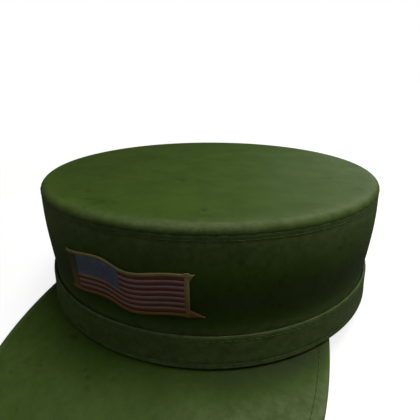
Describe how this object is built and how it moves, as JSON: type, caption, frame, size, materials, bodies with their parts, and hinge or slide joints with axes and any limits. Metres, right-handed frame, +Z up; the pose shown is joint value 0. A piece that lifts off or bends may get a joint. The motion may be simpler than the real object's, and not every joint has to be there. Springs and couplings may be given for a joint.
{
  "type": "field cap",
  "caption": "Green flat-topped cloth field cap with a straight wall, a doubled lower band, a stiff curved visor, a sweatband and lining inside, and a rippling flag patch sewn on the front.",
  "frame": {"origin": "centre of the head opening, in the plane of the band's lower edge", "axes": "+Z up through the middle of the flat top; the visor points along -Y; +X is the wearer's left"},
  "size_m": [0.2022, 0.2636, 0.0855],
  "materials": {
    "cap_cloth": "matt cotton twill, olive green",
    "lining_cloth": "plain cotton lining, olive green",
    "sweatband_cloth": "soft cotton twill, olive green",
    "tape_cloth": "woven herringbone seam tape, olive green",
    "thread": "spun sewing thread, olive green",
    "stiffener": "fused non-woven stiffener, off-white",
    "board": "die-cut sheet, dark grey",
    "flag_border": "overlocked gold thread",
    "flag_backing": "off-white twill",
    "flag_stripes": "satin-stitch embroidery, dull red and off-white",
    "flag_canton": "satin-stitch embroidery, dark blue"
  },
  "bodies": {
    "root": {"crown_top": "cap_cloth", "top_stiffener": "stiffener", "top_lining": "lining_cloth", "front_wall": "cap_cloth", "back_wall": "cap_cloth", "front_wall_stiffener": "stiffener", "back_wall_stiffener": "stiffener", "front_wall_lining": "lining_cloth", "back_wall_lining": "lining_cloth", "crown_seam_tape": "tape_cloth", "left_seam_tape": "tape_cloth", "right_seam_tape": "tape_cloth", "outer_band": "cap_cloth", "sweatband": "sweatband_cloth", "band_upper_thread": "thread", "band_lower_thread": "thread", "rim_thread": "thread", "sweatband_thread": "thread", "visor_top_cover": "cap_cloth", "visor_board": "board", "visor_under_cover": "cap_cloth", "visor_edge_thread": "thread", "patch_border": "flag_border", "patch_backing": "flag_backing", "patch_stripes": "flag_stripes", "patch_canton": "flag_canton"}
  },
  "joints": []
}
